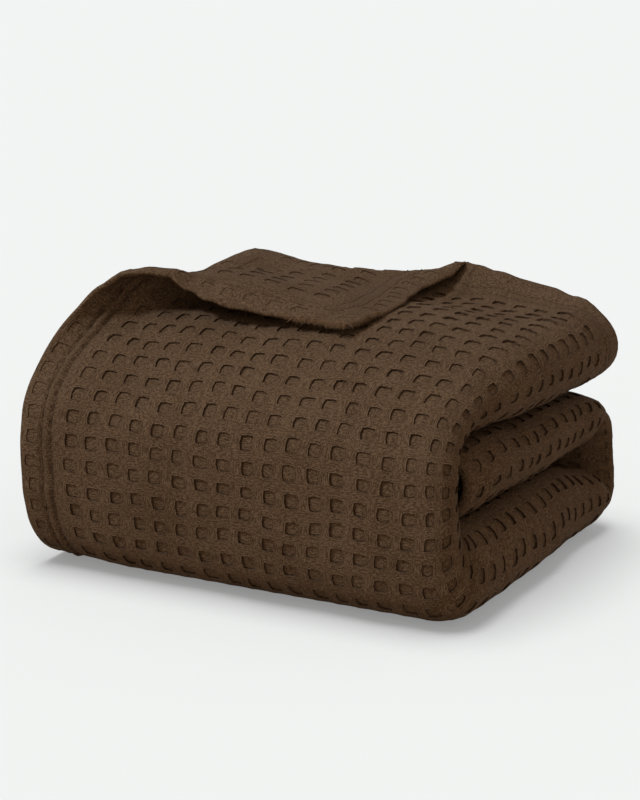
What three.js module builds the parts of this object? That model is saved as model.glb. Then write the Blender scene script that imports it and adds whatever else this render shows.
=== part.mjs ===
// A waffle-weave cotton blanket, folded for the shelf. Millimetres, +Z up.
//
// The blanket is one cloth. It is doubled across its length, then folded in half and in half
// again across its width, which gives a strip of four nested plies, each of two cloths. The
// strip is then wrapped up: from its free end over the top to the front, down the front, back
// along the floor, up through a turn at the back and forward again through the middle. One
// corner of the outer cloth is turned over onto the top.
//
// A point of the cloth is named by two distances along it:
//   down   from the end hem at the back of the top; the outer cloth runs to the crosswise fold
//          at the front of the middle, and the inner cloth comes back to the top beneath it
//   girth  from the outer side hem at the left, round the folds of the strip's cross-section
// A point of the strip is named by across, measured from the left, level, counted in cloths from
// the strip's centre line outwards, and run, the distance along that line from the free end.
// The origin is on the floor, under the middle of the folded blanket.

import * as THREE from "three";
import { mergeVertices } from "three/addons/utils/BufferGeometryUtils.js";

// Driving dimensions
const WIDTH = 298; // left hem to the folds at the right
const DEPTH = 250; // front face to the turn at the back
const CLOTH = 2.2; // thickness of the cloth
const HEM_WIDTH = 22; // turned and stitched border
const HEM_EXTRA = 0.3; // how much thicker the border is
const BAND = 50; // nominal height of the strip's eight cloths, at its rounded right side
const LEFT_FOLD_INSET = 4; // from the left hem to the folds beside it
const CLOTH_WIDTH = 1110; // the whole blanket, across
const INNER_HEM_INSET = 10; // how far the inner cloth's side hem lies inside the outer one

// The strip, station by station. back and up give the outer side of its eight cloths, inBack and
// inUp the inner side, behind the front face and above the floor. left and right are how far the
// strip's two sides draw in.
const STATIONS = [
  { place: "free end", back: 229, up: 156, inBack: 229, inUp: 102, left: 30, right: 3 },
  { place: "top, back", back: 195, up: 156, inBack: 195, inUp: 100, left: 27, right: 3 },
  { place: "top, middle", back: 160, up: 156, inBack: 160, inUp: 101, left: 22, right: 2 },
  { place: "top, front", back: 125, up: 156, inBack: 125, inUp: 103, left: 18, right: 1 },
  { place: "brow, back", back: 94, up: 155, inBack: 92, inUp: 105, left: 13, right: 0 },
  { place: "brow", back: 68, up: 149.5, inBack: 66, inUp: 107, left: 9, right: 1 },
  { place: "brow, front", back: 41, up: 137.5, inBack: 44, inUp: 108, left: 5, right: 2 },
  { place: "shoulder", back: 17, up: 120, inBack: 32, inUp: 103, left: 2, right: 3 },
  { place: "front, upper", back: 2.5, up: 102, inBack: 26.5, inUp: 94, left: 0, right: 2 },
  { place: "front", back: -0.5, up: 80, inBack: 24.5, inUp: 84, left: 0, right: 1 },
  { place: "front, lower", back: -0.5, up: 58, inBack: 24, inUp: 74, left: 0, right: 1 },
  { place: "toe, upper", back: 1, up: 36, inBack: 24, inUp: 65.5, left: 1, right: 5 },
  { place: "toe", back: 5, up: 14.5, inBack: 24.5, inUp: 60, left: 3, right: 9 },
  { place: "toe, lower", back: 17, up: 0, inBack: 29, inUp: 57, left: 5, right: 9 },
  { place: "heel", back: 36, up: 0, inBack: 42, inUp: 57, left: 6, right: 8 },
  { place: "sole, front", back: 62, up: 0, inBack: 64, inUp: 57, left: 6, right: 6 },
  { place: "sole", back: 95, up: 0, inBack: 95, inUp: 56.5, left: 5, right: 5 },
  { place: "sole, middle", back: 130, up: 0, inBack: 130, inUp: 56, left: 5, right: 5 },
  { place: "sole, back", back: 165, up: 0, inBack: 162, inUp: 55.5, left: 6, right: 5 },
  { place: "turn, before", back: 193, up: 0, inBack: 184, inUp: 53, left: 7, right: 5 },
  { place: "turn, start", back: 216, up: 0, inBack: 202, inUp: 47, left: 8, right: 3 },
  { place: "turn, low", back: 239, up: 5, inBack: 218, inUp: 41, left: 8, right: -4 },
  { place: "turn, rising", back: 249.5, up: 24, inBack: 223.5, inUp: 43, left: 9, right: -8 },
  { place: "turn, middle", back: 250.5, up: 46, inBack: 225.5, inUp: 50, left: 10, right: -9 },
  { place: "turn, leaning", back: 246.5, up: 69, inBack: 221.5, inUp: 58, left: 10, right: -9 },
  { place: "turn, high", back: 235, up: 87, inBack: 211.5, inUp: 62, left: 10, right: -6 },
  { place: "turn, end", back: 213, up: 95.5, inBack: 200, inUp: 61, left: 9, right: -2 },
  { place: "middle, back", back: 185, up: 97, inBack: 180, inUp: 59, left: 8, right: 1 },
  { place: "middle", back: 145, up: 98.5, inBack: 143, inUp: 59.5, left: 8, right: 0 },
  { place: "middle, front", back: 100, up: 101, inBack: 100, inUp: 60, left: 9, right: 1 },
  { place: "folded end, back", back: 62, up: 103, inBack: 62, inUp: 60, left: 10, right: 3 },
  { place: "folded end", back: 35, up: 99.5, inBack: 31, inUp: 60, left: 12, right: 6 },
];

// The turned corner of the outer cloth. Its fold runs from the side hem to the end hem, and rise
// is the height that the fold stands over the top at points along it, from 0 to 1.
const FOLD_FROM = { across: 18, back: 63 };
const FOLD_TO = { across: 186, back: 229 };
const FOLD_RISE = [
  { along: -0.2, rise: 29 },
  { along: 0.1, rise: 28 },
  { along: 0.3, rise: 18 },
  { along: 0.5, rise: 12.5 },
  { along: 0.7, rise: 10 },
  { along: 0.9, rise: 6 },
  { along: 1, rise: 8 },
  { along: 1.2, rise: 14 },
];
const FLAP_CLEARANCE = 3; // between the tip of the corner and the cloth it lies on
const FLAP_LEVEL = 35; // the corner stays up for this distance from its fold
const FLAP_SETTLE = 65; // and comes down over this distance more

// The top rises towards its end at the back, most at the left and where the corner's fold ends
const BACK_LIFT = [
  { across: -70, lift: 17 },
  { across: 60, lift: 16 },
  { across: 125, lift: 2 },
  { across: 205, lift: 5 },
  { across: 265, lift: 2 },
  { across: 370, lift: 0 },
];
const BACK_LIFT_START = 110;
const BACK_LIFT_DEPTH = 115;

// The top falls a little towards its folds at the right; this and the rise end before the front
const RIGHT_FALL = 6;
const RIGHT_FALL_START = 215;
const TOP_FADE = 60;

// How finely the surface is divided
const PATH_STEPS = 20; // between two stations
const DRAW_PASSES = 8;
const ROW_LENGTH = 52;
const ROW_TURN = 20; // degrees
const ROW_INNER_TURN = 30; // degrees
const LEAF_STEP = 66;
const OUTER_FOLD_STEPS = 6;
const INNER_FOLD_STEPS = 4;
const FOLD_LINES = [-18, -12, -7, -2.5, 2.5, 7, 12, 18, 36, 60, 85];

// What follows from these
const SPACING = (BAND - CLOTH) / 7; // from one cloth to the next, nominal
const RIGHT_CENTRE = WIDTH - BAND / 2;
const LEFT_CENTRE = LEFT_FOLD_INSET + 1.5 * SPACING + CLOTH / 2;
const PATH = stripPath();
const STRIP_END = PATH.at(-1);
const STRIP_LENGTH = STRIP_END.run;
const END_FOLD_RADIUS = STRIP_END.spacing / 2;
const CLOTH_LENGTH = 2 * STRIP_LENGTH + Math.PI * END_FOLD_RADIUS;
const SECTION = stripSection();

function smooth(value) {
  return THREE.MathUtils.smoothstep(value, 0, 1);
}

// A column of a table, read between its rows
function between(rows, key, column, value) {
  const found = rows.findIndex((row) => row[key] >= value);
  const after = found < 0 ? rows.length - 1 : Math.max(1, found);
  const next = rows[after];
  const last = rows[after - 1];
  const part = (value - last[key]) / (next[key] - last[key]);
  return THREE.MathUtils.lerp(last[column], next[column], smooth(part));
}

// A column of the stations as a smooth curve, at a count of stations from the first
function stationCurve(column, count) {
  const value = (index) => STATIONS[index][column];
  const final = STATIONS.length - 1;
  const reach = (index) => {
    if (index < 0) return 2 * value(0) - value(1);
    return index > final ? 2 * value(final) - value(final - 1) : value(index);
  };
  const first = Math.min(Math.floor(count), final - 1);
  const part = count - first;
  const weights = [
    (1 - part) ** 3,
    3 * part ** 3 - 6 * part ** 2 + 4,
    -3 * part ** 3 + 3 * part ** 2 + 3 * part + 1,
    part ** 3,
  ];
  return weights.reduce((sum, weight, index) => sum + (weight / 6) * reach(first - 1 + index), 0);
}

// The strip as closely spaced points: both its sides, the way out from the inner to the outer one,
// the spacing of its cloths, and the run so far along its centre line
function stripPath() {
  const steps = (STATIONS.length - 1) * PATH_STEPS;
  let run = 0;
  let before;
  return Array.from({ length: steps + 1 }, (_, index) => {
    const point = {};
    for (const column of ["back", "up", "inBack", "inUp", "left", "right"]) {
      point[column] = stationCurve(column, index / PATH_STEPS);
    }
    const thickness = Math.hypot(point.back - point.inBack, point.up - point.inUp);
    point.outBack = (point.back - point.inBack) / thickness;
    point.outUp = (point.up - point.inUp) / thickness;
    point.spacing = (thickness - CLOTH) / 7;
    point.midBack = (point.back + point.inBack) / 2;
    point.midUp = (point.up + point.inUp) / 2;
    run += before ? Math.hypot(point.midBack - before.midBack, point.midUp - before.midUp) : 0;
    point.run = run;
    before = point;
    return point;
  });
}

// The centre line at a run; past either end it goes straight on
function pathAt(run) {
  const found = PATH.findIndex((point) => point.run >= run);
  const after = found < 0 ? PATH.length - 1 : Math.max(1, found);
  const last = PATH[after - 1];
  const next = PATH[after];
  const part = (run - last.run) / (next.run - last.run);
  const place = {};
  for (const key of Object.keys(last)) {
    place[key] = last[key] + part * (next[key] - last[key]);
  }
  return place;
}

// The cross-section of the strip: leaves, at their level in cloth spacings, joined by folds
function stripSection() {
  const legs = [
    { from: 0, to: RIGHT_CENTRE, level: 3 },
    { centre: RIGHT_CENTRE, level: 0, radius: 3, start: 90, turn: -180 },
    { from: RIGHT_CENTRE, to: LEFT_CENTRE, level: -3 },
    { centre: LEFT_CENTRE, level: -2, radius: 1, start: -90, turn: -180 },
    { from: LEFT_CENTRE, to: RIGHT_CENTRE, level: -1 },
    { centre: RIGHT_CENTRE, level: 0, radius: 1, start: -90, turn: 180 },
    { from: RIGHT_CENTRE, to: LEFT_CENTRE, level: 1 },
  ];
  let girth = 0;
  for (const leg of legs) {
    leg.girth = girth;
    leg.length = leg.radius ? Math.PI * leg.radius * SPACING : Math.abs(leg.to - leg.from);
    girth += leg.length;
  }
  return legs;
}

// A point of the cross-section: across in millimetres, level in cloth spacings, and the way out
function sectionAt(girth) {
  const leg = SECTION.findLast((each) => girth >= each.girth) ?? SECTION[0];
  const part = (girth - leg.girth) / leg.length;
  if (!leg.radius) {
    const heading = Math.sign(leg.to - leg.from);
    return { across: leg.from + part * (leg.to - leg.from), level: leg.level, outAcross: 0, outLevel: heading };
  }
  const angle = THREE.MathUtils.degToRad(leg.start + part * leg.turn);
  const facing = -Math.sign(leg.turn);
  return {
    across: leg.centre + leg.radius * SPACING * Math.cos(angle),
    level: leg.level + leg.radius * Math.sin(angle),
    outAcross: facing * Math.cos(angle),
    outLevel: facing * Math.sin(angle),
  };
}

// Where a place of the strip lies, given across, level and run, and a height above that level
function stripPoint(across, level, run, above = 0) {
  const place = pathAt(run);
  const fromLeft = smooth(1 - across / (WIDTH / 2));
  const fromRight = smooth((across - WIDTH / 2) / (WIDTH / 2));
  const round = Math.max(across - RIGHT_CENTRE, 0) * (place.spacing / SPACING - 1);
  const out = level * place.spacing + above;
  const point = new THREE.Vector3(
    across + round + fromLeft * place.left - fromRight * place.right - WIDTH / 2,
    place.midBack + out * place.outBack - DEPTH / 2,
    place.midUp + out * place.outUp,
  );
  const onTop = smooth((level + 3.5) / 7) * smooth((STATIONS[0].back - run) / TOP_FADE);
  const toBack = smooth((point.y + DEPTH / 2 - BACK_LIFT_START) / BACK_LIFT_DEPTH);
  const toRight = smooth((across - RIGHT_FALL_START) / (WIDTH - RIGHT_FALL_START));
  point.z += onTop * (toBack * between(BACK_LIFT, "across", "lift", across) - toRight * RIGHT_FALL);
  return point;
}

// Where a distance down the blanket lies on the doubled strip: the outer cloth runs from the free
// end to the crosswise fold, and the inner cloth comes back
function runAt(down) {
  const angle = THREE.MathUtils.clamp((down - STRIP_LENGTH) / END_FOLD_RADIUS, 0, Math.PI);
  const back = Math.max(down - STRIP_LENGTH - Math.PI * END_FOLD_RADIUS, 0);
  const run = Math.min(down, STRIP_LENGTH) + END_FOLD_RADIUS * Math.sin(angle) - back;
  return { run, side: Math.cos(angle) };
}

// The middle of the cloth's thickness, before its corner is turned over
function layAt(down, girth) {
  const { run, side } = runAt(down);
  const toHem = smooth(1 - girth / RIGHT_CENTRE);
  const inset = INNER_HEM_INSET * toHem * ((1 - side) / 2) * smooth(1 - run / STRIP_LENGTH);
  const spot = sectionAt(girth + inset);
  const half = side / 2;
  return stripPoint(spot.across + half * spot.outAcross * SPACING, spot.level + half * spot.outLevel, run);
}

// How far the left side draws in at a place of the strip
function drawnIn(across, run) {
  return smooth(1 - across / (WIDTH / 2)) * pathAt(run).left;
}

// The across that draws in to a distance from the left
function acrossAt(distance, run) {
  let across = distance;
  for (let pass = 0; pass < DRAW_PASSES; pass += 1) {
    across = distance - drawnIn(across, run);
  }
  return across;
}

// Distance past the fold of the turned corner, how far along the fold that is, from 0 to 1, and
// the direction straight away from the fold
function pastFold(girth, down) {
  const foldAcross = FOLD_TO.across - FOLD_FROM.across;
  const foldDown = FOLD_FROM.back - FOLD_TO.back;
  const length = Math.hypot(foldAcross, foldDown);
  const toAcross = girth + drawnIn(girth, down) - FOLD_FROM.across;
  const toDown = down - (STATIONS[0].back - FOLD_FROM.back);
  return {
    along: (toAcross * foldAcross + toDown * foldDown) / (length * length),
    past: (toAcross * foldDown - toDown * foldAcross) / length,
    awayAcross: foldDown / length,
    awayDown: -foldAcross / length,
  };
}

// The middle of the cloth's thickness, with the corner of the outer cloth turned over
function clothAt(down, girth) {
  if (girth > RIGHT_CENTRE || down > STATIONS[0].back) {
    return layAt(down, girth);
  }
  const fold = pastFold(girth, down);
  const radius = between(FOLD_RISE, "along", "rise", fold.along) / 2;
  const past = fold.past + (Math.PI / 2) * radius;
  if (past <= 0) {
    return layAt(down, girth);
  }
  const angle = Math.min(past / radius, Math.PI);
  const beyond = Math.max(past - Math.PI * radius, 0);
  const moved = radius * Math.sin(angle) - beyond - past;
  const landed = smooth((beyond - FLAP_LEVEL) / FLAP_SETTLE);
  const rise = THREE.MathUtils.lerp(radius * (1 - Math.cos(angle)), CLOTH + FLAP_CLEARANCE, landed);
  const level = sectionAt(0).level + 0.5;
  const landing = girth + drawnIn(girth, down) + moved * fold.awayAcross;
  const run = down + moved * fold.awayDown;
  return stripPoint(acrossAt(landing, run), level, run, rise);
}

// The direction out of the cloth, from its slopes down and across
function outAt(down, girth) {
  const step = 0.5;
  const along = clothAt(down + step, girth).sub(clothAt(down - step, girth));
  const across = clothAt(down, girth + step).sub(clothAt(down, girth - step));
  return along.cross(across).normalize();
}

// The two faces of the cloth at a point; the border is thicker, on its inner face
function facesAt(down, girth) {
  const middle = clothAt(down, girth);
  const out = outAt(down, girth);
  const edge = Math.min(girth, CLOTH_WIDTH - girth, down, CLOTH_LENGTH - down);
  const extra = edge <= HEM_WIDTH ? HEM_EXTRA : 0;
  const outer = middle.clone().addScaledVector(out, CLOTH / 2);
  const inner = middle.clone().addScaledVector(out, -CLOTH / 2 - extra);
  return { outer, inner };
}

// The angle, in degrees, that a side of the strip turns through at a point of its path
function turnAt(index, back, up) {
  const before = PATH[Math.max(index - 1, 0)];
  const after = PATH[Math.min(index + 1, PATH.length - 1)];
  const here = PATH[index];
  const arriving = Math.atan2(here[up] - before[up], here[back] - before[back]);
  const leaving = Math.atan2(after[up] - here[up], after[back] - here[back]);
  const turn = Math.abs(THREE.MathUtils.radToDeg(leaving - arriving));
  return Math.min(turn, 360 - turn);
}

// Distances down the blanket at which its surface is divided: closer where the strip bends
function rowPlaces() {
  const rows = [0, HEM_WIDTH];
  let start = PATH[0];
  let outerTurn = 0;
  let innerTurn = 0;
  PATH.forEach((point, index) => {
    if (index === 0) return;
    outerTurn += turnAt(index, "back", "up");
    innerTurn += turnAt(index, "inBack", "inUp");
    const far = point.run - start.run > ROW_LENGTH || outerTurn > ROW_TURN || innerTurn > ROW_INNER_TURN;
    if (far && point.run > HEM_WIDTH + CLOTH && STRIP_LENGTH - point.run > CLOTH) {
      rows.push(point.run);
      start = point;
      outerTurn = 0;
      innerTurn = 0;
    }
  });
  const outer = [...rows, STRIP_LENGTH];
  const fold = [1, 2, 3].map((step) => STRIP_LENGTH + (step / 4) * Math.PI * END_FOLD_RADIUS);
  return [...outer, ...fold, ...outer.map((down) => CLOTH_LENGTH - down).reverse()];
}

// Distances across the blanket at which its surface is divided: along each leaf and round each fold
function columnPlaces() {
  const columns = [0, HEM_WIDTH];
  for (const leg of SECTION) {
    const length = Math.min(leg.length, CLOTH_WIDTH - leg.girth);
    const foldSteps = leg.radius > 1 ? OUTER_FOLD_STEPS : INNER_FOLD_STEPS;
    const steps = leg.radius ? foldSteps : Math.ceil(length / LEAF_STEP);
    for (let step = 1; step <= steps; step += 1) {
      columns.push(leg.girth + (length * step) / steps);
    }
  }
  columns.splice(-1, 0, CLOTH_WIDTH - HEM_WIDTH);
  return columns.sort((a, b) => a - b);
}

// A flat polygon of (down, girth) points, cut in two where its distance past the fold is offset
function cutAtLine(polygon, offset) {
  const sides = [[], []];
  polygon.forEach((point, index) => {
    const next = polygon[(index + 1) % polygon.length];
    const here = pastFold(point.girth, point.down).past - offset;
    const there = pastFold(next.girth, next.down).past - offset;
    sides[here < 0 ? 0 : 1].push(point);
    if (here < 0 !== there < 0) {
      const part = here / (here - there);
      const down = THREE.MathUtils.lerp(point.down, next.down, part);
      const girth = THREE.MathUtils.lerp(point.girth, next.girth, part);
      sides[0].push({ down, girth });
      sides[1].push({ down, girth });
    }
  });
  return sides.filter((side) => side.length > 2);
}

// The blanket laid flat, as polygons between its rows and columns and along the turned corner
function flatPolygons() {
  const rows = rowPlaces();
  const columns = columnPlaces();
  const polygons = [];
  for (let i = 1; i < rows.length; i += 1) {
    for (let j = 1; j < columns.length; j += 1) {
      let pieces = [[
        { down: rows[i - 1], girth: columns[j - 1] },
        { down: rows[i], girth: columns[j - 1] },
        { down: rows[i], girth: columns[j] },
        { down: rows[i - 1], girth: columns[j] },
      ]];
      if (rows[i] < STATIONS[0].back && columns[j] < RIGHT_CENTRE) {
        for (const offset of FOLD_LINES) {
          pieces = pieces.flatMap((piece) => cutAtLine(piece, offset));
        }
      }
      polygons.push(...pieces);
    }
  }
  return polygons;
}

// The folded blanket as one closed body: both faces of the cloth, joined along its four hems
function blanketGeometry() {
  const spots = new Map();
  const edges = new Map();
  const corners = [];
  const addTriangle = (a, b, c) => corners.push(...a.toArray(), ...b.toArray(), ...c.toArray());
  const spotAt = ({ down, girth }) => {
    const key = `${down.toFixed(3)} ${girth.toFixed(3)}`;
    if (!spots.has(key)) {
      spots.set(key, { key, ...facesAt(down, girth) });
    }
    return spots.get(key);
  };
  for (const polygon of flatPolygons()) {
    const ring = polygon.map(spotAt).filter((spot, index, all) => spot !== all.at(index - 1));
    for (let index = 2; index < ring.length; index += 1) {
      addTriangle(ring[0].outer, ring[index - 1].outer, ring[index].outer);
      addTriangle(ring[0].inner, ring[index].inner, ring[index - 1].inner);
    }
    ring.forEach((spot, index) => {
      const next = ring[(index + 1) % ring.length];
      const shared = `${next.key} | ${spot.key}`;
      if (!edges.delete(shared)) {
        edges.set(`${spot.key} | ${next.key}`, [spot, next]);
      }
    });
  }
  for (const [spot, next] of edges.values()) {
    addTriangle(spot.outer, spot.inner, next.inner);
    addTriangle(spot.outer, next.inner, next.outer);
  }
  const geometry = new THREE.BufferGeometry();
  geometry.setAttribute("position", new THREE.Float32BufferAttribute(corners, 3));
  geometry.computeBoundingBox();
  const middle = geometry.boundingBox.getCenter(new THREE.Vector3());
  geometry.translate(-middle.x, -middle.y, -geometry.boundingBox.min.z);
  return mergeVertices(geometry, 1e-4);
}

function blanket() {
  const cotton = new THREE.MeshStandardMaterial({ color: 0x46331f, roughness: 0.95, metalness: 0 });
  const mesh = new THREE.Mesh(blanketGeometry(), cotton);
  mesh.name = "blanket";
  return mesh;
}

const folded = new THREE.Group();
folded.add(blanket());

export default folded;
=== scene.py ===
"""A folded cotton blanket in a waffle weave, with stitched hems, on a plain pale floor.

The cloth is one sheet. A point of it is named by two distances in millimetres: down, from the
end hem at the back of the top, and girth, from the side hem at the left. The sheet is doubled
across its length and folded twice across its width, which gives a strip of eight cloths, and the
strip is wrapped from the top over the front, along the floor, round the back and into the middle.
"""

import math
from itertools import product

import bpy
import numpy as np
from mathutils import Matrix, Vector


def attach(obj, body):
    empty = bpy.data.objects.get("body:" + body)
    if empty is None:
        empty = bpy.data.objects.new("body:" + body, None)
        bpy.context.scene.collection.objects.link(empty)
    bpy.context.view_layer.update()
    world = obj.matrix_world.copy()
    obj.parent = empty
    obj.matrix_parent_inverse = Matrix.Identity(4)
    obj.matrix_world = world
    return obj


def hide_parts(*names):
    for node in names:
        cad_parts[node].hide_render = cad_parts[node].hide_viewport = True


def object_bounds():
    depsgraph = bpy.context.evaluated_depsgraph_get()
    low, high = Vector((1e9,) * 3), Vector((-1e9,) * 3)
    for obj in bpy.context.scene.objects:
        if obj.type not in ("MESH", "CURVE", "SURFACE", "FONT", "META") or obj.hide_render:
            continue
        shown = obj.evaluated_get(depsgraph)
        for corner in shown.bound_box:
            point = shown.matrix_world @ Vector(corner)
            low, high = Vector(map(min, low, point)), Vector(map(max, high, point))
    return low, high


bl_info = {
    "name": "Folded waffle blanket",
    "version": (1, 0, 0),
    "blender": (4, 5, 0),
    "location": "View3D > Sidebar > Blanket",
    "description": "Weaves, hems and lights a folded cotton blanket",
    "category": "Object",
}

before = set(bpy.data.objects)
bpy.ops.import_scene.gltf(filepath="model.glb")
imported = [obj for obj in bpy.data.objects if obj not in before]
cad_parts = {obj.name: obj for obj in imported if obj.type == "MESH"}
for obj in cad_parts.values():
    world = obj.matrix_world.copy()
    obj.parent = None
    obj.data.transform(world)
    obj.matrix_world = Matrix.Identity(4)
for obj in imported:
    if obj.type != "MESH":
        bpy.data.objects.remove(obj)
CAD_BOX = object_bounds()
NODE = "blanket"
MM = 0.001
MIDDLE = (0.149, 0.125)  # metres, from the left hem and the front face to the box's middle


def table(columns, *rows):
    """Rows of values, each under its column's name."""
    names = columns.split()
    return [dict(zip(names, row)) for row in rows]


# ---------------------------------------------------------------- the folded shape, in mm

WIDTH = 298.0  # left hem to the folds at the right
CLOTH = 2.2  # thickness of the cloth
BAND = 50.0  # nominal height of the strip's eight cloths
LEFT_FOLD_INSET = 4.0
INNER_HEM_INSET = 5.0
SHEET_FLAT = (1.11, 1.503)  # metres, cut width and length
CLOTH_WIDTH = SHEET_FLAT[0] / MM

# The strip from its free end on: its outer side, its inner side, and how far its sides draw in
STATIONS = table(
    "back up in_back in_up left right",
    (229, 156, 229, 99, 30, 3), (195, 156, 195, 98.5, 27, 3), (160, 156, 160, 100, 22, 2),
    (125, 156, 125, 103, 18, 1), (94, 155, 92, 105, 12, 0), (68, 149.5, 66, 107, 7.5, 1),
    (41, 137.5, 44, 108, 2.5, 2), (17, 120, 32, 103, -1, 3), (2.5, 102, 26.5, 94, 0, 2),
    (-0.5, 80, 24.5, 84, 0, 1), (-0.5, 58, 24, 74, 0, 1), (1, 36, 24, 65.5, 1, 4),
    (5, 15.2, 24.5, 60, 3.5, 6), (17, 1, 29, 57, 7, 5.5), (36, 0, 42, 57, 6, 5),
    (62, 0, 64, 57, 6, 4), (95, 0, 95, 56.5, 5, 3.5), (130, 0, 130, 56, 5, 3.5),
    (165, 0, 162, 55.5, 6, 5), (193, 0, 184, 53, 7, 5), (216, 0, 202, 47, 8, 3),
    (239, 5, 218, 41, 8, -4), (249.5, 24, 223.5, 43, 9, -8), (250.5, 46, 225.5, 50, 10, -9),
    (246.5, 69, 221.5, 58, 10, -9), (235, 87, 211.5, 62, 10, -6), (213, 95.5, 200, 61, 9, -2),
    (185, 97, 180, 59, 8, 1), (145, 98.5, 143, 59.5, 8, 0), (100, 101, 100, 60, 9, 1),
    (62, 103, 62, 60, 10, 3), (35, 99.5, 31, 60, 12, 6),
)
PATH_STEPS = 20

# The turned corner of the outer cloth, and how high its fold stands over the top
FOLD_FROM = {"across": 18.0, "back": 63.0}
FOLD_TO = {"across": 186.0, "back": 229.0}
FOLD_RISE = table(
    "along rise",
    (-0.2, 26), (0.1, 20), (0.3, 20), (0.5, 13), (0.7, 9), (0.82, 10), (0.92, 10), (1.0, 5.5),
    (1.2, 14),
)
FLAP_CLEARANCE = 3.0
FLAP_LEVEL = 35.0
FLAP_SETTLE = 65.0

# The top's rise towards its end at the back, and its fall towards the folds at the right
BACK_LIFT = table(
    "across lift",
    (-70, 18), (42, 16), (84, 10), (125, 7.5), (205, 8), (265, 3), (370, 0),
)
BACK_LIFT_START = 100.0
BACK_LIFT_DEPTH = 120.0
# The hollow beside the end of the corner's fold, and the hem that curls up behind it
BACK_DIP = table(
    "across dip",
    (135, 0), (165, 6.5), (200, 12.5), (230, 9), (257, 7), (290, 3), (310, 0),
)
BACK_DIP_START = 125.0
BACK_DIP_DEPTH = 70.0
END_CURL = table(
    "girth up",
    (164, 0), (178, 8), (190, 14), (203, 15.5), (216, 11.5), (232, 8.5), (257, 7.5), (272, 4),
    (287, -1.5), (300, -1.5), (318, 0),
)
# How the turned corner's two hems droop and stray, beside the plain fold
FLAP_SIDE = table(
    "down back up",
    (0, 0, 0), (24, 0, 0.5), (40, 0, -1.5), (58, 0, -4.5), (74, 0, -5.5), (90, 2, -3),
    (106, 7.5, 2), (120, 8.5, 10.5), (134, 7.5, 12.5), (146, 6.5, 11), (160, 2, 4.5),
    (175, 0, 0),
)
FLAP_END = table(
    "girth out up",
    (0, 1.5, 0), (15, 4.5, -1.5), (45, 9.5, -4.5), (75, 9, -5.5), (105, 4, -5.5),
    (135, 2, -2.5), (158, 4.5, -1), (176, 9, 0.5), (192, 6, 1), (205, 0, 0),
)
FLAP_SIDE_REACH, FLAP_END_REACH, END_CURL_REACH = 34, 80, 26  # how far in from their hems
# The front corner at the left, a little off the floor
CORNER_LIFT = 5.0
CORNER_REACH = {"across": 70.0, "back": 80.0, "up": 50.0}
# Where the strip turns up at the back, its inner leaves are tucked in at the right
BEND_TUCK = table("run in", (495, 0), (512, 23), (542, 21), (568, 0))
TUCK_LEVEL, TUCK_LEVELS = 1.8, 5.3  # the leaf it starts below, and over how many it grows
TUCK_OPENS, TUCK_GIRTH, TUCK_FADE = 12.0, 282.0, 14.0  # where its recesses are drawn flat
RIGHT_FALL = 6.0
RIGHT_FALL_START = 215.0
TOP_FADE = 60.0

# ---------------------------------------------------------------- the weave and the hems, in mm

PITCH = 15.0
FIRST_RIB = 29.5  # girth of the first rib's middle, beside the hem
FRONT_ROW_UP = 87.5  # a row of recesses starts at this height on the front
RECESS_START = 0.26  # of a cell, from the rib's middle
CELL_LINES = (0.0, 0.205, 0.25, 0.5, 0.75, 0.795)
RIM, FLOOR_EDGE = 0.295, 0.25  # of a cell, from its middle to the rim and the floor of its recess
SIDE_PINCH = 0.15  # how much narrower the recesses are on the rounded side
HEM_WIDTH = 22.6
HEM_SEAMS = (16.2, 22.6)  # the two stitched lines, from the edge
HEM_LINES = (0, 0.5, 1.3, 14.9, 16.2, 17.5, 19.4, 21.3, 22.6, 23.9, 26)
HEM_RISE = 1.2  # how much the doubled cloth adds
RIDGE, RIDGE_WIDTH = 0.6, 1.9  # between the two stitched lines
SEAM_WIDTH = 1.15
HEM_WAVE, HEM_WAVE_LENGTH, HEM_WAVE_SEED = 0.5, 17, 31
END_HEM_PLACE = 2000  # keeps the end hems from straying just as the side ones do
HEM_FADE = 12.5  # how the hem's own count of cells passes into the cloth's
HEM_CELL_START = 1.5  # the row of recesses pressed flat within the hem
HEM_PRESSED = 0.6

# The cloth's outer face and its inner one: how deep the stitched lines lie, how proud a hem stands,
# and one at the cloth's ends, how strongly the weave's painted shade, highlight and bumps show, how
# deep the weave is, and how much shade is painted into the stitched lines, and at the cloth's ends
FACE_LOOKS = table(
    "groove hem end_hem pressed relief seam end_seam",
    (1.9, 0.8, 0.15, 1.0, 1.0, 1.0, 0.25),
    (0.9, 0.4, 0.5, 0.7, 0.5, 0.3, 0.15),
)
FACES = {1: FACE_LOOKS[0], -1: FACE_LOOKS[1]}

# Slow swells of the cloth, of its rounded side, and of the hems' stitched lines
SWELLS = table("size length seed", (0.8, 95, 41), (0.35, 38, 42))
SIDE_SWELLS = table("size length seed", (0.35, 27, 43))
HEM_STRAYS = table("size length seed", (0.5, 33, 71), (0.25, 13, 72))
DRIFT, DRIFT_DOWN, DRIFT_GIRTH = 1.2, 75, 65  # how far the rows and columns wander, and how slowly

# Where each is at work, in girth or from an edge: from, fading in over, to, fading out over
CREASED = (272, 18, 350, 18)
SWOLLEN = (262, 16, 352, 16)
PINCHED = (282, 22, 352, 20)
HEM_STRAYED = (9, 5, 29, 4)

# The recesses: how far the floor runs in under the ribs, how far corners and sides are drawn in,
# all of a cell, then how much depths and sizes differ, and how far threads stand up and dip
UNDERCUT, CORNER_DRAW, SIDE_DRAW = 0.14, 0.11, 0.04
DEPTH_DIFFERENCE, SIZE_DIFFERENCE = 0.15, 1.5
CROSSING_RISE, FLOAT_DIP, RIM_DIP = 0.2, 0.15, 0.2
NEAR = 0.01  # of a cell: near enough to be the same line
SAME_LINE = 0.001
CELL_SEED = 11

# Small folds in the rounded side
CREASES = table("run spread apart size", (288, 11, 7.5, 0.8), (330, 9, 9, 0.6), (738, 12, 8, 0.8))

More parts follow.
